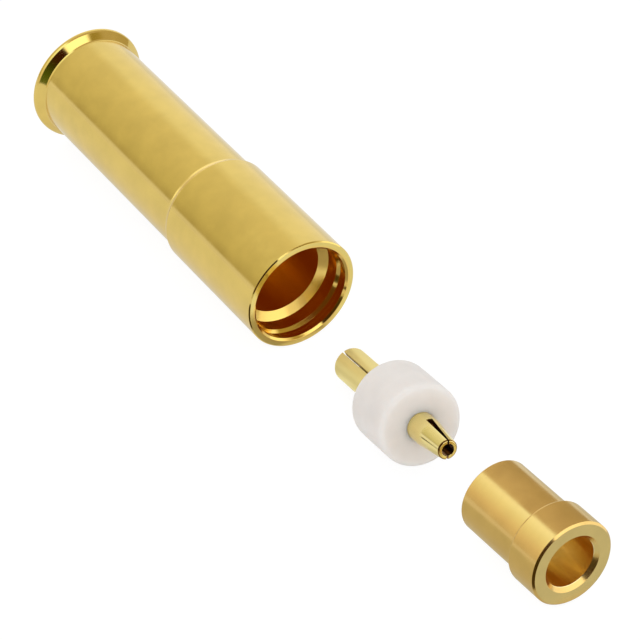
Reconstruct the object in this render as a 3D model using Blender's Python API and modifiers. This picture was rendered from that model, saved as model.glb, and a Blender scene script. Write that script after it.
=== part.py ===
"""Micro-miniature coaxial jack for a cable, as its four loose parts lying in a row.

The turned body lies at -X with its open mouth towards +X. The insulator with the centre
contact pressed through it lies next, tipped back on the contact's rear end, and the cable
bushing lies at +X. Lengths are in metres, +Z is up and Z = 0 is the surface they lie on.

A station is a distance along a part's own axis, from its front towards its rear. The front
of every part faces +X. In a part's own axes station s is at z = -s.
"""

import math

import bmesh
import bpy
from mathutils import Matrix, Vector

MM = 0.001

# Body, outside
BARREL_D = 3.60 * MM
BARREL_LENGTH = 4.72 * MM
BARREL_STEP = 0.14 * MM
TUBE_D = 3.37 * MM
BODY_LENGTH = 12.81 * MM
FLARE_D = 3.83 * MM
FLARE_LENGTH = 0.30 * MM
FLARE_LAND = 0.16 * MM
FLARE_ROUND = 0.05 * MM
MOUTH_CHAMFER = 0.035 * MM

# Body, inside, from the mouth to the rear
LIP_D = 3.08 * MM
LIP_DEPTH = 0.24 * MM
LEAD_IN = 0.065 * MM
GROOVE_D = 3.27 * MM
GROOVE_LENGTH = 0.22 * MM
GROOVE_RAMP = 0.10 * MM
MOUTH_BORE_D = 3.11 * MM
MOUTH_BORE_DEPTH = 0.99 * MM
DRILL_POINT = math.radians(118)
INSULATOR_BORE_D = 2.58 * MM
CRIMP_WALL = 0.20 * MM

# Insulator
INSULATOR_LENGTH = 1.99 * MM
INSULATOR_ROUND = 0.15 * MM
INSULATOR_FIT = 0.05 * MM
SHOULDER_DEPTH = 1.00 * MM

# Centre contact: a slotted socket in front, a cup for the cable's core behind
SOCKET_LENGTH = 1.66 * MM
SOCKET_ROOT_D = 0.84 * MM
SOCKET_TIP_D = 0.59 * MM
SOCKET_BORE_ROOT_D = 0.56 * MM
SOCKET_BORE_TIP_D = 0.36 * MM
SOCKET_BORE_DEPTH = 1.43 * MM
SOCKET_TIP_CHAMFER = 0.04 * MM
SLOT_LENGTH = 1.22 * MM
SLOT_ROOT_WIDTH = 0.19 * MM
SLOT_TIP_WIDTH = 0.05 * MM
SLOT_TURN = math.radians(171)
BARB_D = 0.95 * MM
BARB_DEPTH = 0.42 * MM
BARB_LENGTH = 0.20 * MM
CUP_D = 1.04 * MM
CUP_LENGTH = 2.71 * MM
CUP_BORE_D = 0.62 * MM
CUP_BORE_DEPTH = 2.30 * MM
CUP_CHAMFER = 0.05 * MM
CUP_SLOT_WIDTH = 0.06 * MM
CUP_SLOT_LENGTH = 2.20 * MM
CUP_SLOT_TURN = math.radians(202)
CONTACT_FIT = 0.01 * MM
TIP_RECESS = 0.12 * MM

# Cable bushing
BUSHING_LENGTH = 3.54 * MM
COLLAR_D = 2.58 * MM
COLLAR_LENGTH = 1.23 * MM
COLLAR_STEP = 0.10 * MM
COLLAR_CHAMFER = 0.06 * MM
COLLAR_FIT = 0.01 * MM
NECK_D = 2.25 * MM
NECK_CHAMFER = 0.03 * MM
BUSHING_BORE_D = 1.53 * MM
BUSHING_BORE_CHAMFER = 0.12 * MM

# The row on the surface
CONTACT_GAP = 2.09 * MM
BUSHING_GAP = 1.35 * MM
INSERT_SIDE = -0.28 * MM
INSERT_HEADING = math.radians(-7.7)
BUSHING_SIDE = 0.16 * MM

BODY_STEPS = 96
INSULATOR_STEPS = 80
BUSHING_STEPS = 80
CONTACT_STEPS = 48
ARC_STEPS = 4
SWEEP_STEPS = 7
MERGE = 1e-6
CUTTER_REACH = 1.0 * MM
CUTTER_OVERSHOOT = 0.1 * MM
SHARP_ANGLE = math.radians(28)


def clear_scene():
    for obj in list(bpy.data.objects):
        bpy.data.objects.remove(obj, do_unlink=True)


def new_collection(name):
    collection = bpy.data.collections.new(name)
    bpy.context.scene.collection.children.link(collection)
    return collection


def new_material(name, colour, roughness, metallic):
    material = bpy.data.materials.new(name)
    material.use_nodes = True
    shader = material.node_tree.nodes["Principled BSDF"]
    shader.inputs["Base Color"].default_value = (*colour, 1.0)
    shader.inputs["Roughness"].default_value = roughness
    shader.inputs["Metallic"].default_value = metallic
    return material


def arc(radius, station, width, length, start, end, steps=ARC_STEPS):
    """Points of an elliptical arc about (radius, station), angles from +radius to +station."""
    points = []
    for i in range(steps + 1):
        angle = math.radians(start + (end - start) * i / steps)
        points.append((radius + width * math.cos(angle), station + length * math.sin(angle)))
    return points


def turned(name, outline, steps, collection, looped=True):
    """A turned piece. Its outline is (radius, station) pairs, down the outside first.

    A looped outline closes on itself, as on a tube. One that isn't starts and ends on the axis.
    """
    points = [(radius, 0.0, -station) for radius, station in outline]
    last = len(points) if looped else len(points) - 1
    edges = [(i, (i + 1) % len(points)) for i in range(last)]
    mesh = bpy.data.meshes.new(name)
    mesh.from_pydata(points, edges, [])
    obj = bpy.data.objects.new(name, mesh)
    collection.objects.link(obj)
    screw = obj.modifiers.new("Turning", "SCREW")
    screw.steps = steps
    screw.render_steps = steps
    screw.use_merge_vertices = True
    screw.merge_threshold = MERGE
    return obj


def slot_cutter(name, stations, widths, sides, turn, collection):
    """A tapered bar lying across the axis, which saws a slot between two stations.

    sides are its two ends across the axis, and turn is its angle about the axis.
    """
    bm = bmesh.new()
    bmesh.ops.create_cube(bm, size=1.0)
    for vert in bm.verts:
        end = 0 if vert.co.z > 0 else 1
        across = math.copysign(widths[end] / 2, vert.co.y)
        side = sides[1] if vert.co.x > 0 else sides[0]
        vert.co = Vector((side, across, -stations[end]))
    bmesh.ops.rotate(bm, verts=bm.verts, cent=(0, 0, 0), matrix=Matrix.Rotation(turn, 3, "Z"))
    mesh = bpy.data.meshes.new(name)
    bm.to_mesh(mesh)
    bm.free()
    cutter = bpy.data.objects.new(name, mesh)
    cutter.hide_render = True
    cutter.display_type = "WIRE"
    collection.objects.link(cutter)
    return cutter


def cut(obj, cutter):
    boolean = obj.modifiers.new(cutter.name, "BOOLEAN")
    boolean.operation = "DIFFERENCE"
    boolean.solver = "EXACT"
    boolean.object = cutter
    cutter.parent = obj


def apply_modifiers(obj):
    """Keeps the shape that the modifiers make, shaded smooth between its sharp edges."""
    graph = bpy.context.evaluated_depsgraph_get()
    mesh = bpy.data.meshes.new_from_object(obj.evaluated_get(graph))
    mesh.name = obj.name
    mesh.shade_smooth()
    mesh.set_sharp_from_angle(angle=SHARP_ANGLE)
    obj.modifiers.clear()
    obj.data = mesh


def drill_point(radius):
    """How far the point of a drill of this radius runs on past its full bore."""
    return radius / math.tan(DRILL_POINT / 2)


def flare_outline():
    """The tube's flared rear end: a hollow sweep outside, a round-edged rim and a bell inside."""
    tube = TUBE_D / 2
    rim = FLARE_D / 2 - FLARE_ROUND
    crimp_bore = tube - CRIMP_WALL
    sweep_end = BODY_LENGTH - FLARE_LAND
    points = arc(rim, sweep_end - FLARE_LENGTH, tube - rim, FLARE_LENGTH, 0, 90, SWEEP_STEPS)
    points += arc(rim, sweep_end + FLARE_ROUND, FLARE_ROUND, FLARE_ROUND, -72, 0)
    points += arc(rim, BODY_LENGTH - FLARE_ROUND, FLARE_ROUND, FLARE_ROUND, 0, 90)
    bell = rim - FLARE_ROUND / 2
    points += arc(bell, BODY_LENGTH - FLARE_LENGTH, crimp_bore - bell, FLARE_LENGTH, 90, 0)
    return points


def body_outline():
    """Barrel, step and flared tube outside, then crimp bore, seats and mouth inside."""
    barrel, tube = BARREL_D / 2, TUBE_D / 2
    lip, groove, mouth_bore = LIP_D / 2, GROOVE_D / 2, MOUTH_BORE_D / 2
    insulator_bore = INSULATOR_BORE_D / 2
    seat = COLLAR_D / 2 + COLLAR_FIT
    crimp_bore = tube - CRIMP_WALL
    seat_front = TIP_RECESS + SOCKET_LENGTH + INSULATOR_LENGTH
    seat_rear = seat_front + COLLAR_LENGTH
    cone_end = MOUTH_BORE_DEPTH + drill_point(mouth_bore) - drill_point(insulator_bore)
    groove_rear = LIP_DEPTH + GROOVE_LENGTH
    points = [(barrel - MOUTH_CHAMFER, 0.0), (barrel, MOUTH_CHAMFER), (barrel, BARREL_LENGTH)]
    points += [(tube, BARREL_LENGTH + BARREL_STEP)]
    points += flare_outline()
    points += [(crimp_bore, seat_rear + crimp_bore - seat), (seat, seat_rear), (seat, seat_front)]
    points += [(insulator_bore, seat_front), (insulator_bore, cone_end)]
    points += [(mouth_bore, MOUTH_BORE_DEPTH), (mouth_bore, groove_rear + GROOVE_RAMP)]
    points += [(groove, groove_rear), (groove, LIP_DEPTH), (lip, LIP_DEPTH), (lip, LEAD_IN)]
    points += [(lip + LEAD_IN, 0.0)]
    return points


def barb_rear():
    return BARB_DEPTH + BARB_LENGTH


def insulator_outline():
    """A round-edged cylinder, bored in two steps with a groove for the contact's barb."""
    outer = INSULATOR_BORE_D / 2 - INSULATOR_FIT
    centre = outer - INSULATOR_ROUND
    size = (INSULATOR_ROUND, INSULATOR_ROUND)
    front_bore = SOCKET_ROOT_D / 2 + CONTACT_FIT
    rear_bore = CUP_D / 2 + CONTACT_FIT
    groove = BARB_D / 2 + CONTACT_FIT
    points = arc(centre, INSULATOR_ROUND, *size, -90, 0)
    points += arc(centre, INSULATOR_LENGTH - INSULATOR_ROUND, *size, 0, 90)
    points += [(rear_bore, INSULATOR_LENGTH), (rear_bore, SHOULDER_DEPTH)]
    points += [(front_bore, SHOULDER_DEPTH), (front_bore, barb_rear() + CONTACT_FIT)]
    points += [(groove, barb_rear() + CONTACT_FIT), (groove, barb_rear())]
    points += [(front_bore, BARB_DEPTH - 2 * CONTACT_FIT), (front_bore, 0.0)]
    return points


def contact_outline():
    """The contact from the bottom of its socket, down its outside, to the bottom of its cup.

    Its stations are counted from the front of the insulator that holds it.
    """
    tip = -SOCKET_LENGTH
    bend = tip + SLOT_LENGTH
    bore_end = tip + SOCKET_BORE_DEPTH
    rear = INSULATOR_LENGTH + CUP_LENGTH
    cup_end = rear - CUP_BORE_DEPTH
    shoulder = SHOULDER_DEPTH + CONTACT_FIT
    root, top = SOCKET_ROOT_D / 2, SOCKET_TIP_D / 2
    bore, bore_tip = SOCKET_BORE_ROOT_D / 2, SOCKET_BORE_TIP_D / 2
    cup, cup_bore = CUP_D / 2, CUP_BORE_D / 2
    points = [(0.0, bore_end + drill_point(bore)), (bore, bore_end), (bore, bend)]
    points += [(bore_tip, tip), (top - SOCKET_TIP_CHAMFER, tip), (top, tip + SOCKET_TIP_CHAMFER)]
    points += [(root, bend), (root, BARB_DEPTH), (BARB_D / 2, barb_rear()), (root, barb_rear())]
    points += [(root, shoulder), (cup, shoulder), (cup, rear - CUP_CHAMFER)]
    points += [(cup - CUP_CHAMFER, rear), (cup_bore, rear), (cup_bore, cup_end)]
    points += [(0.0, cup_end - drill_point(cup_bore))]
    return points


def bushing_outline():
    """Collar in front, neck behind, and one bore with a chamfered mouth through both."""
    collar, neck, bore = COLLAR_D / 2, NECK_D / 2, BUSHING_BORE_D / 2
    points = [(collar - COLLAR_CHAMFER, 0.0), (collar, COLLAR_CHAMFER)]
    points += [(collar, COLLAR_LENGTH - COLLAR_STEP), (neck, COLLAR_LENGTH)]
    points += [(neck, BUSHING_LENGTH - NECK_CHAMFER), (neck - NECK_CHAMFER, BUSHING_LENGTH)]
    points += [(bore, BUSHING_LENGTH), (bore, BUSHING_BORE_CHAMFER)]
    points += [(bore + BUSHING_BORE_CHAMFER, 0.0)]
    return points


def resting_edges(outlines, balance):
    """The two outer edges, in front of and behind the balance station, that a part lies on."""
    hull = []
    for station, radius in sorted((s, r) for outline in outlines for r, s in outline):
        while len(hull) > 1:
            (s0, r0), (s1, r1) = hull[-2:]
            if (s1 - s0) * (radius - r0) < (r1 - r0) * (station - s0):
                break
            hull.pop()
        hull.append((station, radius))
    for front, rear in zip(hull, hull[1:]):
        if front[0] <= balance < rear[0]:
            return front, rear


def lay(obj, outlines, balance, x, y, heading, row):
    """Lays a part on the surface, and gives how much of a length along it counts along X."""
    front, rear = resting_edges(outlines, balance)
    rise = math.atan2(rear[1] - front[1], rear[0] - front[0])
    height = front[1] * math.cos(rise) - front[0] * math.sin(rise)
    obj.location = (x, y, height)
    obj.rotation_euler = (0.0, math.pi / 2 + rise, heading)
    obj.parent = row
    return math.cos(rise) * math.cos(heading)


def stand_row_on_origin(row, parts):
    """Moves the row so that its box has the origin at the middle of its bottom."""
    bpy.context.view_layer.update()
    corners = [obj.matrix_world @ vert.co for obj in parts for vert in obj.data.vertices]
    low = [min(corner[i] for corner in corners) for i in range(3)]
    high = [max(corner[i] for corner in corners) for i in range(3)]
    row.location = (-(low[0] + high[0]) / 2, -(low[1] + high[1]) / 2, -low[2])
    bpy.context.view_layer.update()


def main():
    clear_scene()
    parts = new_collection("mmcx_connector")
    cutters = new_collection("cutters")
    gold = new_material("gold-plated brass", (0.70, 0.50, 0.17), 0.22, 1.0)
    gold_contact = new_material("gold-plated spring alloy", (0.74, 0.54, 0.19), 0.20, 1.0)
    resin = new_material("white fluoropolymer", (0.80, 0.78, 0.75), 0.45, 0.0)

    body = turned("connector_body", body_outline(), BODY_STEPS, parts)
    insulator = turned("insulator", insulator_outline(), INSULATOR_STEPS, parts)
    contact = turned("centre_contact", contact_outline(), CONTACT_STEPS, parts, looped=False)
    bushing = turned("cable_bushing", bushing_outline(), BUSHING_STEPS, parts)

    tip = -SOCKET_LENGTH
    taper = (SLOT_ROOT_WIDTH - SLOT_TIP_WIDTH) * CUTTER_OVERSHOOT / SLOT_LENGTH
    ends = (tip - CUTTER_OVERSHOOT, tip + SLOT_LENGTH)
    widths = (SLOT_TIP_WIDTH - taper, SLOT_ROOT_WIDTH)
    across = (-CUTTER_REACH, CUTTER_REACH)
    cut(contact, slot_cutter("socket_slot", ends, widths, across, SLOT_TURN, cutters))
    rear = INSULATOR_LENGTH + CUP_LENGTH
    ends = (rear - CUP_SLOT_LENGTH, rear + CUTTER_OVERSHOOT)
    widths = (CUP_SLOT_WIDTH, CUP_SLOT_WIDTH)
    across = (0.0, CUTTER_REACH)
    cut(contact, slot_cutter("cup_slot", ends, widths, across, CUP_SLOT_TURN, cutters))

    made = {body: gold, insulator: resin, contact: gold_contact, bushing: gold}
    for obj, material in made.items():
        apply_modifiers(obj)
        obj.data.materials.append(material)

    row = bpy.data.objects.new("row", None)
    insert = bpy.data.objects.new("insert", None)
    parts.objects.link(row)
    parts.objects.link(insert)
    insulator.parent = insert
    contact.parent = insert

    lay(body, [body_outline()], BODY_LENGTH / 2, 0.0, 0.0, 0.0, row)
    outlines = [insulator_outline(), contact_outline()]
    behind = INSULATOR_LENGTH + CUP_LENGTH / 2
    along = lay(insert, outlines, behind, 0.0, INSERT_SIDE, INSERT_HEADING, row)
    insert.location.x = CONTACT_GAP + rear * along
    socket_tip = insert.location.x + SOCKET_LENGTH * along
    along = lay(bushing, [bushing_outline()], BUSHING_LENGTH / 2, 0.0, BUSHING_SIDE, 0.0, row)
    bushing.location.x = socket_tip + BUSHING_GAP + BUSHING_LENGTH * along
    stand_row_on_origin(row, list(made))


main()
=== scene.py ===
# A micro coaxial jack as its four loose parts in a row: fine turned surfaces, gold plating, studio and camera
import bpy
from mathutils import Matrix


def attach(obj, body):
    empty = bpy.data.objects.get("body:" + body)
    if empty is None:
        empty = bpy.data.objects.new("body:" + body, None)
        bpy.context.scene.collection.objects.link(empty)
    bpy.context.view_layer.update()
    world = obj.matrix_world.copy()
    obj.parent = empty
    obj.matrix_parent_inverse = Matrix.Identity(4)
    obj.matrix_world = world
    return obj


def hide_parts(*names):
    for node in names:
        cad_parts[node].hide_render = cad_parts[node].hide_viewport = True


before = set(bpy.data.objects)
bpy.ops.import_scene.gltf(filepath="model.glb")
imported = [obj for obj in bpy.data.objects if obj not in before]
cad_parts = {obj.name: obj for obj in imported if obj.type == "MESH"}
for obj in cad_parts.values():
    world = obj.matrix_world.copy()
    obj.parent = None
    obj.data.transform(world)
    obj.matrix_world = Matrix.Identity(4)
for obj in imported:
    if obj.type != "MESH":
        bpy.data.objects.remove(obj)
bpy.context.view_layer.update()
print("frame: the packed model is loaded")

import math

import bmesh
import bpy
import numpy as np
from mathutils import Euler, Matrix, Vector

mm = 0.001
white = (1.0, 1.0, 1.0, 1.0)
drillRise = 1 / math.tan(math.radians(118 / 2))     # how far a drill's point runs on, for a radius of 1


# Small helpers

def linearColour(code, level=1.0):
    # an sRGB hex colour as the linear numbers that shaders take, times a level
    parts = np.array([int(code[i:i + 2], 16) for i in (1, 3, 5)]) / 255
    linear = np.where(parts <= 0.04045, parts / 12.92, ((parts + 0.055) / 1.055) ** 2.4) * level
    return (*(float(part) for part in linear), 1.0)


def addNode(tree, kind, settings=None, links=None):
    # settings name a node's own options or its inputs
    # links name its inputs and give the socket each one takes, or a node that stands for its first output
    node = tree.nodes.new(kind)
    for name, value in (settings or {}).items():
        if isinstance(name, str) and hasattr(node, name):
            setattr(node, name, value)
        else:
            node.inputs[name].default_value = value
    for name, source in (links or {}).items():
        socket = source.outputs[0] if isinstance(source, bpy.types.Node) else source
        tree.links.new(socket, node.inputs[name])
    return node


def fillRamp(node, stops):
    # stops are (place, linear colour) pairs, in order
    elements = node.color_ramp.elements
    while len(elements) < len(stops):
        elements.new(1.0)
    for element, (place, colour) in zip(elements, stops):
        element.position = place
        element.color = colour
    return node


def layered(tree, base, layers):
    # colours laid one over another: a layer is its share and its colour, each colour a node or plain numbers
    for share, colour in layers:
        settings, links = {}, {"Fac": share}
        for name, value in (("Color1", base), ("Color2", colour)):
            (settings if isinstance(value, tuple) else links)[name] = value
        base = addNode(tree, "ShaderNodeMixRGB", settings, links)
    return base


def emptyMaterial(name):
    material = bpy.data.materials.new(name)
    material.use_nodes = True
    material.node_tree.nodes.clear()
    return material, material.node_tree


def placeTurn(place):
    # a piece's own axis runs from its front, at station 0, down its local Z, and is laid towards X
    return Euler((0.0, math.pi / 2 + math.radians(place["rise"]), math.radians(place["heading"])))


def placeMatrix(place):
    return Matrix.Translation(Vector(place["front"]) * mm) @ placeTurn(place).to_matrix().to_4x4()


def shadedSpot(tree, place=None):
    # the shaded spot in millimetres, in a piece's own axes where its place is given
    spot = addNode(tree, "ShaderNodeTexCoord").outputs["Object"]
    if place:
        spot = addNode(tree, "ShaderNodeMapping", {
            "vector_type": "TEXTURE", "Location": Vector(place["front"]) * mm, "Rotation": placeTurn(place)},
            {"Vector": spot})
    return addNode(tree, "ShaderNodeVectorMath", {"operation": "SCALE", "Scale": 1 / mm}, {0: spot})


# Turned surfaces

def roundedOutline(corners, arcSteps=5, longestRun=0.5):
    # a corner is (radius, station, rounding) and gives way to an arc that touches both its sides
    # the arc starts rounding * tan(turn / 2) before the corner, and the normal turns evenly along it
    count = len(corners)
    arcs, normals = [], []
    for i, (radius, station, rounding) in enumerate(corners):
        here = np.array([radius, station])
        before = here - np.array(corners[i - 1][:2])
        after = np.array(corners[(i + 1) % count][:2]) - here
        before, after = before / np.hypot(*before), after / np.hypot(*after)
        turn = math.atan2(before[0] * after[1] - before[1] * after[0], before @ after)
        trim = rounding * math.tan(abs(turn) / 2)
        share = np.linspace(0, 1, arcSteps + 1)
        angle = math.atan2(before[1], before[0]) + turn * share
        along = np.column_stack([np.cos(angle), np.sin(angle)])
        side = np.column_stack([along[:, 1], -along[:, 0]])
        centre = here - before * trim - side[0] * math.copysign(rounding, turn)
        arcs.append(centre + side * math.copysign(rounding, turn))
        normals.append(side)
    points, outward = [], []
    for i in range(count):
        points.append(arcs[i])
        outward.append(normals[i])
        start, end = arcs[i][-1], arcs[(i + 1) % count][0]
        extra = int(np.hypot(*(end - start)) / longestRun)
        share = np.arange(1, extra + 1)[:, None] / (extra + 1)
        points.append(start + (end - start) * share)
        outward.append(np.repeat(normals[i][-1:], extra, axis=0))
    return np.vstack(points), np.vstack(outward)


def ringFaces(rows, columns, closedRows=True):
    # quads between neighbouring rows and columns of a grid that closes on itself round the columns
    row, column = np.meshgrid(np.arange(rows if closedRows else rows - 1), np.arange(columns), indexing="ij")
    nextRow, nextColumn = (row + 1) % rows, (column + 1) % columns
    quads = np.stack([row * columns + column, row * columns + nextColumn,
                      nextRow * columns + nextColumn, nextRow * columns + column], axis=-1)
    return quads.reshape(-1, 4)


def newPiece(name, points, faces, matrix, material):
    # points are in the piece's own axes in millimetres, and go into the mesh at their place in the row
    turned = np.asarray(matrix)
    world = points * mm @ turned[:3, :3].T + turned[:3, 3]
    mesh = bpy.data.meshes.new(name)
    mesh.from_pydata(world, [], faces)
    mesh.shade_smooth()
    mesh.materials.append(material)
    piece = bpy.data.objects.new(name, mesh)
    bpy.context.scene.collection.objects.link(piece)
    return piece


def turnedPiece(name, corners, place, material, steps=240):
    # a closed outline turned about the axis: each of its points goes round a circle of its own radius,
    # as far down the axis as its station, so P(u, v) = (r(u) cos v, r(u) sin v, -s(u))
    # the normals are the outline's own, turned the same way, so long mirror faces stay true
    outline, outward = roundedOutline(corners)
    angle = np.arange(steps) * 2 * np.pi / steps
    ring = np.column_stack([np.cos(angle), np.sin(angle), np.ones(steps)])
    spread = np.column_stack([outline[:, 0], outline[:, 0], -outline[:, 1]])
    points = (spread[:, None, :] * ring[None]).reshape(-1, 3)
    lean = np.column_stack([outward[:, 0], outward[:, 0], -outward[:, 1]])
    normals = (lean[:, None, :] * ring[None]).reshape(-1, 3)
    matrix = placeMatrix(place)
    faces = ringFaces(len(outline), steps)[:, ::-1]
    piece = newPiece(name, points, faces, matrix, material)
    normals = normals @ np.asarray(matrix)[:3, :3].T
    piece.data.normals_split_custom_set_from_vertices(normals.tolist())
    return piece


# Gold plating: a station is a number of millimetres along a piece's own axis, from its front

goldFinish = {
    "body": {
        "colour": "#E9CC72",
        "shade": 0.91,                          # how far the plating's slow mottling takes the colour down
        "roughness": (0.07, 0.15),
        "marks": 0.0008,                        # millimetres, the depth of turning marks
        "calm": (12.3, 12.45, 1.0, 0.05),       # two stations and how strong the marks are there
        "bore": (0.0, 1.0, 1.66, 1.66),         # two stations and the radii there within which it is inside
        "inside": (0.95, 1.05, 0.10, 0.16),     # two stations and the least roughness inside there
        "deepTone": ("#E9C468", 1.0),           # the colour inside, and how far patches take it down; it sets how light a bore looks, painted light in the bushing's bore and painted shade in the contact's socket
        "glow": ("#F0A860", 0.30),              # a painted glow: the emission that stands in for what is left of the light after the last mirroring
        "mirrorings": 3.5,                      # past so many mirrorings between walls, the painted glow stands in
        "dull": (0.0, 1.0, 0.0, 0.0),           # two stations and the least roughness there
        "matt": (0.0, 1.0, 0.0, 0.0),           # two stations and the share of matt, as-plated grain there
    },
    "bushing": {
        "colour": "#E4C074", "shade": 0.91, "roughness": (0.15, 0.23), "marks": 0.0014,
        "calm": (9.0, 9.1, 1.0, 0.05), "bore": (0.0, 1.0, 0.775, 0.775), "inside": (0.0, 1.0, 0.20, 0.14),
        # the bushing's inside tone is paler than its outside: painted light in its bore
        "deepTone": ("#F6DC9C", 0.84), "glow": ("#F8B858", 0.36), "mirrorings": 2.5,
        "dull": (0.0, 1.0, 0.0, 0.0), "matt": (0.0, 1.0, 0.0, 0.0),
    },
    "contact": {
        "colour": "#F6E498", "shade": 0.95, "roughness": (0.10, 0.17), "marks": 0.0006,
        "calm": (9.0, 9.1, 1.0, 0.05), "bore": (-1.65, -0.44, 0.282, 0.405), "inside": (0.0, 1.0, 0.30, 0.30),
        # the contact's inside tone is dark brown: painted shade in its socket's bore
        "deepTone": ("#8A5A22", 1.0), "glow": ("#F0A860", 0.10), "mirrorings": 3.5,
        "dull": (1.8, 1.9, 0.0, 0.42), "matt": (1.8, 1.9, 0.0, 0.52),
    },
    "markSpacing": 0.05,        # millimetres between turning marks, drawn coarser than the real 0.02
    "pits": (0.09, 0.5),        # millimetres across the plating's pits, and their share of the marks' depth
    "mottle": 0.7,              # millimetres across a patch
    "patchEnds": (0.3, 0.7),    # the noise's values where a patch is at its darkest and its lightest
    "streaks": 0.25,            # millimetres across a patch inside a bore
    "streakEnds": (0.35, 0.65),
    "streakPull": 0.2,          # how much slower a streak changes along the axis
    "soft": (0.003, 0.01),      # millimetres over which the inside ends, at the front face and at the wall
    "bounce": "#F4E6C8",        # the gold's colour as matt things get it back
}


def goldMaterial(name, look, place):
    # gold-plated turned brass: a soft, warm mirror that the lathe's fine rings blur a little lengthwise
    # the plating's slow unevenness keeps broad faces from looking like paint
    # bores are duller and take an inside tone painted lighter or darker, and light that has gone from wall to
    # wall a few times ends in a painted deep warm glow, an emission in place of further mirrorings
    # matt things beside it get its warm light back as from a matt surface
    material, tree = emptyMaterial(name)
    g = goldFinish[look]
    spot = shadedSpot(tree, place)
    parts = addNode(tree, "ShaderNodeSeparateXYZ", None, {"Vector": spot})
    across = addNode(tree, "ShaderNodeVectorMath", {"operation": "MULTIPLY", 1: (1.0, 1.0, 0.0)}, {0: spot})
    radius = addNode(tree, "ShaderNodeVectorMath", {"operation": "LENGTH"}, {0: across}).outputs["Value"]
    station = addNode(tree, "ShaderNodeMath", {"operation": "MULTIPLY", 1: -1.0}, {0: parts.outputs["Z"]})

    along = {}      # what changes with the station, evenly between two of them
    for what in ("calm", "bore", "inside", "dull", "matt"):
        near, far, low, high = g[what]
        along[what] = addNode(tree, "ShaderNodeMapRange", {
            "From Min": near, "From Max": far, "To Min": low, "To Max": high}, {"Value": station})

    # inside is where the radius is under the bore's, behind the front face
    frontSoft, wallSoft = goldFinish["soft"]
    boreFront = g["bore"][0]
    pastFront = addNode(tree, "ShaderNodeMapRange", {
        "From Min": boreFront - frontSoft, "From Max": boreFront}, {"Value": station})
    limit = addNode(tree, "ShaderNodeMath", {"operation": "MULTIPLY"}, {0: along["bore"], 1: pastFront})
    beyond = addNode(tree, "ShaderNodeMath", {"operation": "SUBTRACT"}, {0: radius, 1: limit})
    outside = addNode(tree, "ShaderNodeMapRange", {"From Max": wallSoft}, {"Value": beyond})
    within = addNode(tree, "ShaderNodeMath", {"operation": "SUBTRACT", 0: 1.0}, {1: outside})

    # colour: slow patches outside, streaks drawn out along the bore inside, in the inside tone that paints
    # the bore lighter or darker
    dark, light = goldFinish["patchEnds"]
    mottle = addNode(tree, "ShaderNodeTexNoise", {
        "Scale": 1 / goldFinish["mottle"], "Detail": 3.0, "Roughness": 0.55}, {"Vector": spot})
    tone = fillRamp(addNode(tree, "ShaderNodeValToRGB", None, {"Fac": mottle}),
                    [(dark, linearColour(g["colour"], g["shade"])), (light, linearColour(g["colour"]))])
    drawn = addNode(tree, "ShaderNodeVectorMath", {
        "operation": "MULTIPLY", 1: (1.0, 1.0, goldFinish["streakPull"])}, {0: spot})
    streaks = addNode(tree, "ShaderNodeTexNoise", {"Scale": 1 / goldFinish["streaks"], "Detail": 2.0},
                      {"Vector": drawn})
    deepCode, deepShade = g["deepTone"]
    streakDark, streakLight = goldFinish["streakEnds"]
    deep = fillRamp(addNode(tree, "ShaderNodeValToRGB", None, {"Fac": streaks}),
                    [(streakDark, linearColour(deepCode, deepShade)), (streakLight, linearColour(deepCode))])
    colour = layered(tree, deep, [(outside, tone)])

    # roughness: the patches', and at least the bore's and the dull stretch's
    polished, hazy = g["roughness"]
    rough = addNode(tree, "ShaderNodeMapRange", {
        "From Min": dark, "From Max": light, "To Min": polished, "To Max": hazy}, {"Value": mottle})
    inBore = addNode(tree, "ShaderNodeMath", {"operation": "MULTIPLY"}, {0: within, 1: along["inside"]})
    for least in (inBore, along["dull"]):
        rough = addNode(tree, "ShaderNodeMath", {"operation": "MAXIMUM"}, {0: rough, 1: least})

    # relief: turning marks follow station less radius, so flat faces have rings too, and pits lie among them
    ringPlace = addNode(tree, "ShaderNodeMath", {"operation": "SUBTRACT"}, {0: station, 1: radius})
    marks = addNode(tree, "ShaderNodeTexNoise", {
        "noise_dimensions": "1D", "Scale": 1 / goldFinish["markSpacing"], "Detail": 2.0, "Roughness": 0.6},
        {"W": ringPlace})
    pitSize, pitDepth = goldFinish["pits"]
    pits = addNode(tree, "ShaderNodeTexNoise", {"Scale": 1 / pitSize, "Detail": 2.0}, {"Vector": spot})
    height = addNode(tree, "ShaderNodeMath", {"operation": "MULTIPLY_ADD", 1: pitDepth}, {0: pits, 2: marks})
    relief = addNode(tree, "ShaderNodeBump", {"Distance": g["marks"] * mm},
                     {"Strength": along["calm"], "Height": height})

    surface = addNode(tree, "ShaderNodeBsdfPrincipled", {"Metallic": 1.0},
                      {"Base Color": colour, "Roughness": rough, "Normal": relief})
    # past so many mirrorings the gold gives way to the painted glow, an emission that stands in for the light
    # still going from wall to wall
    lightPath = addNode(tree, "ShaderNodeLightPath")
    later = addNode(tree, "ShaderNodeMath", {"operation": "GREATER_THAN", 1: g["mirrorings"]},
                    {0: lightPath.outputs["Glossy Depth"]})
    glow = addNode(tree, "ShaderNodeEmission", {"Color": linearColour(*g["glow"])})
    grain = addNode(tree, "ShaderNodeBsdfDiffuse", {"Color": linearColour(g["colour"])})
    bounce = addNode(tree, "ShaderNodeBsdfDiffuse", {"Color": linearColour(goldFinish["bounce"])})
    mattRay = lightPath.outputs["Is Diffuse Ray"]
    for share, other in ((later, glow), (along["matt"], grain), (mattRay, bounce)):
        surface = addNode(tree, "ShaderNodeMixShader", None, {0: share, 1: surface, 2: other})
    addNode(tree, "ShaderNodeOutputMaterial", None, {"Surface": surface})
    return material


# Body, all sizes in millimetres and angles in degrees

bodyPlace = {"front": (-0.1669, 0.0, 1.7996), "rise": 0.5202, "heading": 0.0}

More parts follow.
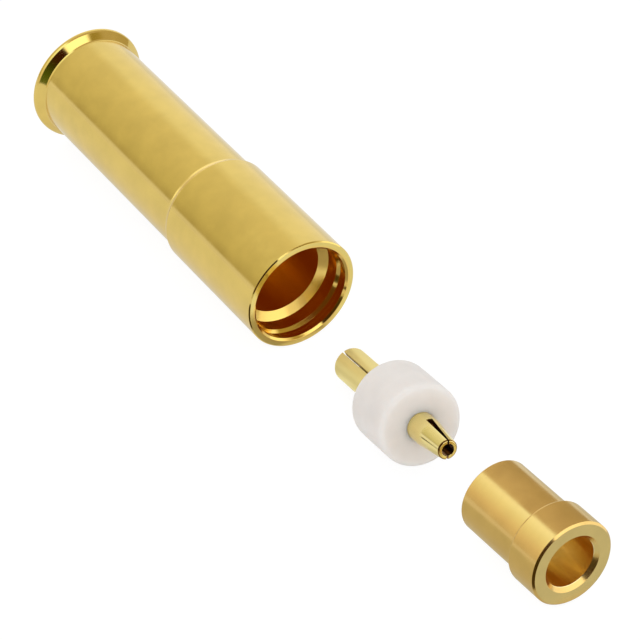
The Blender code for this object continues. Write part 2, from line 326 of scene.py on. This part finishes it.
bodySize = {
    "barrel": 1.80, "barrelLength": 4.72, "step": 0.14, "stepRound": 0.05, "stepFillet": 0.40,
    "tube": 1.685, "length": 12.81,
    "flare": 1.915, "flareLand": 0.13, "flareRound": 0.05, "flareLean": 44,
    "flareFillet": 0.12, "flareShoulder": 0.16,
    "rimWidth": 0.075, "bellLength": 0.30, "bellSweep": (80, 74, 68, 62, 32, 20, 10, 0), "bellRound": 0.02,
    "mouthChamfer": 0.035, "lip": 1.54, "lipDepth": 0.24, "leadIn": 0.065,
    "groove": 1.635, "grooveRear": 0.46, "grooveRamp": 0.10, "mouthBore": 1.555, "mouthDepth": 0.99,
    "insulatorBore": 1.29, "seat": 1.30, "seatFront": 3.77, "seatRear": 5.00, "crimpBore": 1.485,
    "edge": 0.012, "seatEdge": 0.004,
}


def bodyCorners(v):
    # the outside from the mouth to the flare, the bell, then the inside back to the mouth
    # the flare is a cone with rounded ends, and the bell runs down an ellipse from the rim to the bore:
    # the radius leaves the rim's by the cosine of the sweep, and the station leaves the start by its sine
    edge, seatEdge = v["edge"], v["seatEdge"]
    flareEnd = v["length"] - v["flareLand"]
    flareRun = (v["flare"] - v["tube"]) / math.tan(math.radians(v["flareLean"]))
    outside = [
        (v["barrel"] - v["mouthChamfer"], 0, edge), (v["barrel"], v["mouthChamfer"], edge),
        (v["barrel"], v["barrelLength"], v["stepRound"]),
        (v["tube"], v["barrelLength"] + v["step"], v["stepFillet"]),
        (v["tube"], flareEnd - flareRun, v["flareFillet"]), (v["flare"], flareEnd, v["flareShoulder"]),
        (v["flare"], v["length"], v["flareRound"])]
    rim = v["flare"] - v["rimWidth"]
    bellStart = v["length"] - v["bellLength"]
    bell = [(rim + (v["crimpBore"] - rim) * math.cos(sweep), bellStart + v["bellLength"] * math.sin(sweep),
             v["bellRound"]) for sweep in np.radians(v["bellSweep"])]
    inside = [
        (v["crimpBore"], v["seatRear"] + v["crimpBore"] - v["seat"], edge), (v["seat"], v["seatRear"], edge),
        (v["seat"], v["seatFront"], seatEdge), (v["insulatorBore"], v["seatFront"], seatEdge),
        (v["insulatorBore"], v["mouthDepth"] + (v["mouthBore"] - v["insulatorBore"]) * drillRise, edge),
        (v["mouthBore"], v["mouthDepth"], edge),
        (v["mouthBore"], v["grooveRear"] + v["grooveRamp"], edge), (v["groove"], v["grooveRear"], edge),
        (v["groove"], v["lipDepth"], edge), (v["lip"], v["lipDepth"], edge), (v["lip"], v["leadIn"], edge),
        (v["lip"] + v["leadIn"], 0, edge)]
    return outside + bell + inside


# Insulator

insertPlace = {"front": (6.4336, -0.28, 1.6628), "rise": -14.4355, "heading": -7.7}

insulatorSize = {
    "radius": 1.24, "length": 1.99, "round": 0.15, "frontBore": 0.424, "rearBore": 0.53, "shoulder": 1.00,
    "edge": 0.02, "steps": 160,
}

fluoropolymerFinish = {
    "colour": "#EEE8E3",
    "low": "#E8E2DD",                # the colour of its clouds
    "cloud": 0.8,                    # millimetres across a cloud
    "cloudEnds": (0.35, 0.65),       # the noise's values where a cloud is at its darkest and its lightest
    "roughness": (0.42, 0.58),
    "scatter": (0.70, 0.64, 0.60),   # millimetres that light travels inside
    "grain": 0.12,                   # millimetres, the waxy grain of machined rod
    "relief": 0.002,                 # millimetres, that grain's depth, of which it shows a share
    "reliefShare": 0.3,
}


def insulatorCorners(v):
    edge = v["edge"]
    return [(v["radius"], 0, v["round"]), (v["radius"], v["length"], v["round"]),
            (v["rearBore"], v["length"], edge), (v["rearBore"], v["shoulder"], edge),
            (v["frontBore"], v["shoulder"], edge), (v["frontBore"], 0, edge)]


def fluoropolymerMaterial(name):
    # machined PTFE: waxy white, cloudy rather than opaque, with a dull wide sheen
    # light goes in and comes out again nearby, which softens its edges
    material, tree = emptyMaterial(name)
    f = fluoropolymerFinish
    spot = shadedSpot(tree)
    cloud = addNode(tree, "ShaderNodeTexNoise", {"Scale": 1 / f["cloud"], "Detail": 3.0}, {"Vector": spot})
    grain = addNode(tree, "ShaderNodeTexNoise", {"Scale": 1 / f["grain"], "Detail": 2.0}, {"Vector": spot})
    dark, light = f["cloudEnds"]
    tone = fillRamp(addNode(tree, "ShaderNodeValToRGB", None, {"Fac": cloud}),
                    [(dark, linearColour(f["low"])), (light, linearColour(f["colour"]))])
    smooth, dull = f["roughness"]
    haze = addNode(tree, "ShaderNodeMapRange", {"To Min": smooth, "To Max": dull}, {"Value": cloud})
    relief = addNode(tree, "ShaderNodeBump", {"Strength": f["reliefShare"], "Distance": f["relief"] * mm},
                     {"Height": grain})
    shader = addNode(tree, "ShaderNodeBsdfPrincipled", {
        "IOR": 1.35, "Subsurface Weight": 1.0, "Subsurface Scale": mm, "Subsurface Radius": f["scatter"]},
        {"Base Color": tone, "Roughness": haze, "Normal": relief})
    addNode(tree, "ShaderNodeOutputMaterial", None, {"Surface": shader})
    return material


# Contact, with its insulator's front as station 0

contactSize = {
    "socketLength": 1.66, "slotLength": 1.22, "root": 0.42, "top": 0.295, "boreRoot": 0.28, "boreTip": 0.18,
    "boreDepth": 1.43, "tipChamfer": 0.04, "slotTip": 0.05, "slotRoot": 0.19, "slotTurn": 171,
    "barb": 0.475, "barbDepth": 0.42, "barbRear": 0.62, "shoulder": 1.01, "rear": 4.70,
    "cup": 0.52, "cupBore": 0.31, "cupDepth": 2.30, "cupChamfer": 0.05,
    "cupSlot": 0.06, "cupSlotLength": 2.20, "cupTurn": 202,
    "pointRing": 0.02,      # the last ring before each drilled point
    "narrowest": 0.10,      # below this radius the slots' columns stay as they are there
    "edgeRound": 0.012,
    "sharpFrom": 30,        # edges that turn by more than this shade sharp, in degrees
    "roundFrom": 40,        # and from here they are rounded
}
contactSteps = {"run": 14, "gap": 6, "tine": 26}    # even steps along a slot, across it and round a tine


def pinOutline(v):
    # from the socket bore's point out round the tines, back over the barb and the cup, to its bore's point
    # slotted stretches have the same even steps inside and outside, so that walls can join them
    share = np.linspace(0, 1, contactSteps["run"] + 1)[:, None]

    def straight(first, last):
        return np.array(first) + (np.array(last) - np.array(first)) * share

    tip, bend, rear = -v["socketLength"], -v["socketLength"] + v["slotLength"], v["rear"]
    boreEnd, cupEnd, slotStart = tip + v["boreDepth"], rear - v["cupDepth"], rear - v["cupSlotLength"]
    stretches = {
        "bore": [(v["pointRing"], boreEnd + v["boreRoot"] * drillRise), (v["boreRoot"], boreEnd)],
        "tines": np.vstack([straight((v["boreRoot"], bend), (v["boreTip"], tip)),
                            [(v["top"] - v["tipChamfer"], tip)],
                            straight((v["top"], tip + v["tipChamfer"]), (v["root"], bend))]),
        "barb": [(v["root"], v["barbDepth"]), (v["barb"], v["barbRear"]), (v["root"], v["barbRear"])],
        "shoulder": [(v["root"], v["shoulder"]), (v["cup"], v["shoulder"])],
        "cup": np.vstack([straight((v["cup"], slotStart), (v["cup"], rear - v["cupChamfer"])),
                          [(v["cup"] - v["cupChamfer"], rear)],
                          straight((v["cupBore"], rear), (v["cupBore"], slotStart))]),
        "cupBore": [(v["cupBore"], cupEnd), (v["pointRing"], cupEnd - v["cupBore"] * drillRise)],
    }
    lengths = [len(stretch) for stretch in stretches.values()]
    firstRow = dict(zip(stretches, np.cumsum([0] + lengths[:-1])))
    return np.vstack(list(stretches.values())), firstRow


def slottedAngles(v, radius, station, inCup):
    # a slot's edges stand off its middle by the angle whose sine is half its width over the radius,
    # asin(w(s) / 2r), with even steps between them across the slot and round the tine
    # the second half of the columns is the first, half a turn on
    share = np.clip((station + v["socketLength"]) / v["slotLength"], 0, 1)
    width = np.where(inCup, v["cupSlot"], v["slotTip"] + (v["slotRoot"] - v["slotTip"]) * share)
    half = np.arcsin(width / 2 / np.maximum(radius, v["narrowest"]))[:, None]
    gap = half * np.linspace(-1, 1, contactSteps["gap"] + 1)[:-1]
    tine = half + (np.pi - 2 * half) * np.linspace(0, 1, contactSteps["tine"] + 1)[:-1]
    middle = np.radians(np.where(inCup, v["cupTurn"], v["slotTurn"]))[:, None]
    return np.hstack([gap, tine, np.pi + gap, np.pi + tine]) + middle


def slotFaces(first, last, start, columns):
    # a wall at each edge of a slot, between its rows going in and its rows coming out, then its root
    # a wall has quads along the slot and one many-sided face round the tip
    steps = np.arange(contactSteps["run"])
    wall = np.column_stack([first + steps, first + steps + 1, last - steps - 1, last - steps])
    tip = np.arange(first + len(steps), last - len(steps) + 1)
    faces = []
    for edge in (start, start + contactSteps["gap"]):
        faces += (wall * columns + edge).tolist() + [(tip * columns + edge).tolist()]
    inner, outer = first * columns + start, last * columns + start
    across = np.arange(contactSteps["gap"])
    root = np.column_stack([inner + across, inner + across + 1, outer + across + 1, outer + across])
    return faces + root.tolist()


def slottedPin(name, v, place, material):
    # one outline, turned, with columns of the grid held to the edges of its slots
    # faces between them are left out along a slot, and walls join the inside to the outside there
    outline, firstRow = pinOutline(v)
    radius, station = outline.T
    rows = len(outline)
    angle = slottedAngles(v, radius, station, np.arange(rows) >= firstRow["shoulder"])
    columns = angle.shape[1]
    points = np.stack([radius[:, None] * np.cos(angle), radius[:, None] * np.sin(angle),
                       np.repeat(-station[:, None], columns, 1)], axis=-1).reshape(-1, 3)

    quads = ringFaces(rows, columns, closedRows=False)
    row, column = quads[:, 0] // columns, quads[:, 0] % columns
    inSlot = np.zeros(len(quads), bool)
    walls = []
    tineRows, cupRows = (firstRow["tines"], firstRow["barb"] - 1), (firstRow["cup"], firstRow["cupBore"] - 1)
    for (first, last), start in ((tineRows, 0), (tineRows, columns // 2), (cupRows, 0)):
        inSlot |= (row >= first) & (row < last) & (column >= start) & (column < start + contactSteps["gap"])
        walls += slotFaces(first, last, start, columns)

    firstPole = len(points)
    poles = np.array([[0, 0, -station[0]], [0, 0, -station[-1]]])
    around = np.arange(columns)
    points, caps = np.vstack([points, poles]), []
    for pole, ring in ((firstPole, 0), (firstPole + 1, (rows - 1) * columns)):
        fan = [ring + around, ring + (around + 1) % columns, np.full(columns, pole)]
        caps += np.column_stack(fan).tolist()
    faces = quads[~inSlot].tolist() + walls + caps
    piece = newPiece(name, points, faces, placeMatrix(place), material)
    turnFacesOut(piece.data)
    piece.data.set_sharp_from_angle(angle=math.radians(v["sharpFrom"]))
    edgeRound = piece.modifiers.new("edge rounding", "BEVEL")
    edgeRound.width = v["edgeRound"] * mm
    edgeRound.segments = 2
    edgeRound.limit_method = "ANGLE"
    edgeRound.angle_limit = math.radians(v["roundFrom"])
    edgeRound.harden_normals = True
    return piece


def turnFacesOut(mesh):
    work = bmesh.new()
    work.from_mesh(mesh)
    bmesh.ops.recalc_face_normals(work, faces=work.faces)
    work.to_mesh(mesh)
    work.free()


# Bushing

bushingPlace = {"front": (12.9083, 0.16, 1.3651), "rise": -3.9659, "heading": 0.0}

bushingSize = {
    "collar": 1.29, "collarLength": 1.23, "collarChamfer": 0.06, "step": 0.10, "stepRound": 0.07,
    "neck": 1.125, "neckChamfer": 0.03, "length": 3.54, "bore": 0.765, "boreChamfer": 0.12, "edge": 0.012,
}


def bushingCorners(v):
    edge = v["edge"]
    return [(v["collar"] - v["collarChamfer"], 0, edge), (v["collar"], v["collarChamfer"], edge),
            (v["collar"], v["collarLength"] - v["step"], v["stepRound"]),
            (v["neck"], v["collarLength"], v["stepRound"]),
            (v["neck"], v["length"], v["neckChamfer"]), (v["bore"], v["length"], edge),
            (v["bore"], v["boreChamfer"], edge), (v["bore"] + v["boreChamfer"], 0, edge)]


# The four pieces and the nodes they stand for

bodyGold = goldMaterial("gold-plated turned brass, body", "body", bodyPlace)
bushingGold = goldMaterial("gold-plated turned brass, bushing", "bushing", bushingPlace)
contactGold = goldMaterial("gold-plated spring alloy", "contact", insertPlace)
whiteFluoropolymer = fluoropolymerMaterial("machined white PTFE")
print("materials: three gold finishes and the white fluoropolymer are set")

body = turnedPiece("turnedBody", bodyCorners(bodySize), bodyPlace, bodyGold)
insulator = turnedPiece("whiteInsulator", insulatorCorners(insulatorSize), insertPlace, whiteFluoropolymer,
                        insulatorSize["steps"])
contact = slottedPin("slottedContact", contactSize, insertPlace, contactGold)
bushing = turnedPiece("turnedBushing", bushingCorners(bushingSize), bushingPlace, bushingGold)

for piece, node, slot in ((body, "connector_body", "gold_plated_brass"),
                          (insulator, "insulator", "white_fluoropolymer"),
                          (contact, "centre_contact", "gold_plated_spring_alloy"),
                          (bushing, "cable_bushing", "gold_plated_brass")):
    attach(piece, "root")
    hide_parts(node)
print("pieces: four turned pieces stand for the four nodes")


# Floor: soft-edged patches of the card, seen only in what the gold mirrors, are painted highlights and
# painted shade
# an edge is its axis, the place in millimetres where the patch ends and the place where it is full

fromMouth = ("X", -0.1, 0.1)
beforeInsert = ("X", 4.8, 4.2)
pastBushing = ("X", 13.0, 13.4)
fromRow = ("Y", -0.9, -0.5)
beforeRow = ("Y", -1.5, -1.7)

floorLook = {
    "half": 600.0,                  # half the card's side
    "colour": "#F2F2F2",
    "whiteLevel": 1.08,             # the level of its clean white
    "seenShare": 0.84,              # how much of it the camera sees as clean white
    "mirroredShare": 0.25,          # the same for what the body mirrors
    "besideShare": 0.60,            # for what the insert and the bushing mirror beside them
    "behindShare": 0.80,            # and for what flat faces mirror, behind the row and in front of them
    "stripShare": 0.72,             # the painted dark strip's share close to the mouth, a painted shade in its shoulder's upper part
    "beside": ("#C2BEA0", 1.0),     # a painted shade beside the insert and the bushing, in what they mirror: its colour and level
    "near": ("#E6F0FF", 1.30),      # a painted highlight in the mouth's flat ring
    "farther": ("#E0E8F0", 1.15),   # a painted highlight farther over
    "cool": ("#E4F4FF", 0.81),      # a dimmer painted reflection in the bushing's face
    "far": ("#FFFFFF", 1.35),       # a painted highlight far over, in the mouth's lower walls
    "strip": ("#4A3C18", 1.0),      # a painted dark reflection in the front chamfers
    # where the painted marks lie on the card, each a list of soft-edged rectangles
    "patches": {
        "beside": [[("X", 4.8, 6.2)]],
        "behind": [[("X", 1.5, 1.8), beforeInsert, fromRow], [("X", 0.0, 0.4), beforeInsert, ("Y", 1.2, 1.8)],
                   [pastBushing, fromRow]],
        "farther": [[("Y", 0.8, 2.6)]],
        "cool": [[pastBushing]],
        "far": [[("X", 10.0, 11.0), ("Y", 5.0, 6.0)]],
        "strip": [[fromMouth, ("X", 3.2, 2.8), ("Y", -6.5, -6.0), beforeRow], [pastBushing, beforeRow]],
        "underMouth": [[fromMouth, ("X", 1.7, 1.4), ("Y", 1.2, 0.9), ("Y", -2.5, -2.0)]],
    },
}


def patchShare(tree, parts, rectangles):
    # 1 in any of the rectangles, each a product of its edges' ramps, and 0 outside them all
    share = None
    for edges in rectangles:
        inside = None
        for axis, end, full in edges:
            ramp = addNode(tree, "ShaderNodeMapRange", {"From Min": end, "From Max": full},
                           {"Value": parts.outputs[axis]})
            inside = ramp if inside is None else addNode(
                tree, "ShaderNodeMath", {"operation": "MULTIPLY"}, {0: inside, 1: ramp})
        share = inside if share is None else addNode(
            tree, "ShaderNodeMath", {"operation": "MAXIMUM"}, {0: share, 1: inside})
    return share


def floorMaterial():
    # matt white card, partly seen as clean white, so that it keeps the object's shadow
    # gold facing the way of the mouth mirrors painted highlights behind the row and a painted dark strip
    # before it, with painted shade beside the parts and under the mouth
    material, tree = emptyMaterial("matt white card with painted reflections")
    look = floorLook
    path = addNode(tree, "ShaderNodeLightPath")
    glossy = path.outputs["Is Glossy Ray"]
    parts = addNode(tree, "ShaderNodeSeparateXYZ", None, {"Vector": shadedSpot(tree)})
    patch = {name: patchShare(tree, parts, rectangles) for name, rectangles in look["patches"].items()}
    tones = ("beside", "near", "farther", "cool", "far", "strip")
    colour = {name: linearColour(*look[name]) for name in tones}

    # how much of the card is clean white, for mirrored light and for light that is seen directly
    # underMouth is a painted shade under the mouth, the dark strip's colour at its own share
    underMouth = addNode(tree, "ShaderNodeMath", {"operation": "MULTIPLY", 1: look["stripShare"]},
                         {0: patch["underMouth"]})
    strip = addNode(tree, "ShaderNodeMath", {"operation": "MAXIMUM"}, {0: patch["strip"], 1: underMouth})
    mirrored = addNode(tree, "ShaderNodeMapRange", {
        "To Min": look["mirroredShare"], "To Max": look["besideShare"]}, {"Value": patch["beside"]})
    behind = addNode(tree, "ShaderNodeMath", {"operation": "MULTIPLY", 1: look["behindShare"]},
                     {0: patch["behind"]})
    for least in (behind, strip):
        mirrored = addNode(tree, "ShaderNodeMath", {"operation": "MAXIMUM"}, {0: mirrored, 1: least})
    mirrored = addNode(tree, "ShaderNodeMath", {"operation": "MULTIPLY"}, {0: mirrored, 1: glossy})
    seen = addNode(tree, "ShaderNodeMath", {"operation": "MAXIMUM"},
                   {0: path.outputs["Is Camera Ray"], 1: path.outputs["Is Transmission Ray"]})
    seen = addNode(tree, "ShaderNodeMath", {"operation": "MULTIPLY", 1: look["seenShare"]}, {0: seen})
    share = addNode(tree, "ShaderNodeMath", {"operation": "MAXIMUM"}, {0: seen, 1: mirrored})

    # that white's colour, which only mirrored light sees: the painted highlights and painted shade
    flatFaces = layered(tree, colour["near"], [
        (patch["farther"], colour["farther"]), (patch["cool"], colour["cool"])])
    tint = layered(tree, white, [
        (patch["beside"], colour["beside"]), (patch["behind"], flatFaces), (patch["far"], colour["far"]),
        (strip, colour["strip"])])
    tint = layered(tree, white, [(glossy, tint)])
    card = addNode(tree, "ShaderNodeBsdfDiffuse", {"Color": linearColour(look["colour"])})
    cleanWhite = addNode(tree, "ShaderNodeEmission", {"Strength": look["whiteLevel"]}, {"Color": tint})
    mixed = addNode(tree, "ShaderNodeMixShader", None, {0: share, 1: card, 2: cleanWhite})
    addNode(tree, "ShaderNodeOutputMaterial", None, {"Surface": mixed})
    return material


half = floorLook["half"]
floorPoints = np.array([(-half, -half, 0.0), (half, -half, 0.0), (half, half, 0.0), (-half, half, 0.0)])
floor = newPiece("floor", floorPoints, [(0, 1, 2, 3)], Matrix.Identity(4), floorMaterial())


# Tent: an emitting sheet seen only in reflections, painted with the highlights and dark bands that the gold
# mirrors

tentLook = {
    "radius": 30.0, "rear": -110.0, "front": 60.0, "steps": 64,
    # where along X each ramp takes over from the one before: for the insert, the body's sides,
    # the bushing's sides, the flare, the mouth, and the bushing's chamfer
    "zones": [("overInsert", None), ("overBody", (-46.5, -44.8)), ("overBushing", (-22.0, -20.8)),
              ("overFlare", (-1.5, 0.3)), ("overMouth", (13.0, 14.0)), ("overFront", (25.0, 27.0))],
    # share of the way over from the -Y side, and the painted colour and level there: painted highlights and
    # painted dark bands for the gold to mirror
    "overInsert": [
        (0.00, "#FFFFF8", 1.35), (0.14, "#FFFFF8", 1.30), (0.22, "#F4ECDC", 1.0), (0.36, "#F4ECDC", 1.0),
        (0.46, "#FFFFFF", 1.3), (1.00, "#FFFFFF", 1.3)],
    "overBody": [
        (0.00, "#EDECFA", 1.0), (0.03, "#EDECFA", 1.0), (0.05, "#C6BEA0", 0.95), (0.15, "#D6D0B4", 1.0),
        (0.35, "#E2DCC6", 1.0), (0.60, "#F0EBDC", 1.0), (0.70, "#FFFFFF", 1.0), (1.00, "#FFFFFF", 1.0)],
    "overBushing": [
        (0.00, "#E0D6C4", 1.0), (0.12, "#F4EAD8", 1.06), (0.28, "#F4FAEE", 1.28), (0.42, "#EAF8FF", 1.66),
        (0.46, "#DACCB8", 1.0), (0.60, "#D2C4B0", 1.0), (1.00, "#BFB08B", 1.0)],
    "overFlare": [
        (0.00, "#6A7838", 1.0), (0.08, "#56661C", 1.0), (0.18, "#3C4208", 1.0), (0.26, "#402408", 1.0),
        (0.39, "#3A1404", 1.0), (0.41, "#FFFFFF", 1.8), (0.62, "#FFFFFF", 1.8), (0.66, "#A89858", 1.0),
        (0.80, "#B8A870", 1.0), (0.85, "#FFFFFF", 1.5), (1.00, "#FFFFFF", 1.5)],
    "overMouth": [
        (0.00, "#5E4018", 1.0), (0.45, "#6A4218", 1.0), (0.62, "#B0A070", 0.8), (0.76, "#C8B888", 0.9),
        (0.86, "#FFFFFF", 1.35), (1.00, "#FFFFFF", 1.35)],
    "overFront": [
        (0.00, "#4A4422", 1.0), (0.20, "#4A3418", 1.0), (0.39, "#3A2410", 1.0), (0.41, "#FFFFFF", 1.7),
        (1.00, "#FFFFFF", 1.5)],
}


def tentMaterial():
    # an emission painted with highlights and dark bands, one ramp of levels round the row for each zone along
    # X
    material, tree = emptyMaterial("tent of painted reflections")
    parts = addNode(tree, "ShaderNodeSeparateXYZ", None, {"Vector": shadedSpot(tree)})
    flipped = addNode(tree, "ShaderNodeMath", {"operation": "MULTIPLY", 1: -1.0}, {0: parts.outputs["Y"]})
    around = addNode(tree, "ShaderNodeMath", {"operation": "ARCTAN2"}, {0: parts.outputs["Z"], 1: flipped})
    share = addNode(tree, "ShaderNodeMath", {"operation": "DIVIDE", 1: math.pi}, {0: around})
    shade = None
    for name, change in tentLook["zones"]:
        stops = [(place, linearColour(colour, level)) for place, colour, level in tentLook[name]]
        ramp = fillRamp(addNode(tree, "ShaderNodeValToRGB", None, {"Fac": share}), stops)
        if shade is None:
            shade = ramp
            continue
        start, end = change
        takenOver = addNode(tree, "ShaderNodeMapRange", {"From Min": start, "From Max": end},
                            {"Value": parts.outputs["X"]})
        shade = layered(tree, shade, [(takenOver, ramp)])
    light = addNode(tree, "ShaderNodeEmission", None, {"Color": shade})
    addNode(tree, "ShaderNodeOutputMaterial", None, {"Surface": light})
    return material


def tentSurface(look):
    # half a tube over the row, from its -Y side over the top: P(u, v) = (x(u), -R cos v, R sin v)
    steps, radius = look["steps"], look["radius"]
    v = np.linspace(0, np.pi, steps)
    x = np.array([look["rear"], look["front"]])[:, None]
    grid = np.stack(np.broadcast_arrays(x, -radius * np.cos(v), radius * np.sin(v)), axis=-1)
    first = np.arange(steps - 1)
    faces = np.column_stack([first, first + 1, first + 1 + steps, first + steps])
    return grid.reshape(-1, 3), faces


tent = newPiece("tent", *tentSurface(tentLook), Matrix.Identity(4), tentMaterial())
for rays in ("camera", "diffuse", "shadow", "transmission", "volume_scatter"):
    setattr(tent, "visible_" + rays, False)


# Lamp and world

lampLook = {"place": (90.0, -50.0, 60.0), "size": 90.0, "watts": 0.010}

lampData = bpy.data.lights.new("soft key", "AREA")
lampData.shape = "SQUARE"
lampData.size = lampLook["size"] * mm
lampData.energy = lampLook["watts"]
lamp = bpy.data.objects.new("soft key", lampData)
lamp.location = Vector(lampLook["place"]) * mm
lamp.rotation_euler = Vector(lampLook["place"]).to_track_quat("Z", "Y").to_euler()
lamp.visible_camera = False
lamp.visible_glossy = False
bpy.context.scene.collection.objects.link(lamp)

worldLook = {"white": 1.0, "fill": 0.88}    # its level as seen or mirrored, and as light on matt things


def studioWorld():
    world = bpy.data.worlds.new("white studio")
    world.use_nodes = True
    tree = world.node_tree
    tree.nodes.clear()
    path = addNode(tree, "ShaderNodeLightPath")
    seen = path.outputs["Is Camera Ray"]
    for rays in ("Is Glossy Ray", "Is Transmission Ray"):
        seen = addNode(tree, "ShaderNodeMath", {"operation": "MAXIMUM"}, {0: seen, 1: path.outputs[rays]})
    level = addNode(tree, "ShaderNodeMapRange", {"To Min": worldLook["fill"], "To Max": worldLook["white"]},
                    {"Value": seen})
    background = addNode(tree, "ShaderNodeBackground", {"Color": white}, {"Strength": level})
    addNode(tree, "ShaderNodeOutputWorld", None, {"Surface": background})
    return world


bpy.context.scene.world = studioWorld()
print("studio: floor, tent, lamp and world are set")


# Camera, at the photograph's angle

cameraLook = {
    "target": (1.1114, -0.1947, 1.80), "distance": 87.397, "azimuth": 57.41, "elevation": 38.67,
    "lens": 171.19, "sensor": 36.0,
}
swing, lift = math.radians(cameraLook["azimuth"]), math.radians(cameraLook["elevation"])
towards = Vector((math.sin(swing) * math.cos(lift), -math.cos(swing) * math.cos(lift), math.sin(lift)))
sideways = Vector((math.cos(swing), math.sin(swing), 0.0))
upwards = towards.cross(sideways)
cameraData = bpy.data.cameras.new("camera")
cameraData.lens = cameraLook["lens"]
cameraData.sensor_width = cameraLook["sensor"]
cameraData.clip_start = 1.0 * mm
cameraData.clip_end = 10.0
camera = bpy.data.objects.new("camera", cameraData)
spot = (Vector(cameraLook["target"]) + towards * cameraLook["distance"]) * mm
axes = Matrix((sideways, upwards, towards)).transposed().to_4x4()
camera.matrix_world = Matrix.Translation(spot) @ axes
bpy.context.scene.collection.objects.link(camera)
bpy.context.scene.camera = camera
bpy.context.scene.view_settings.view_transform = "Standard"
print("camera: set")
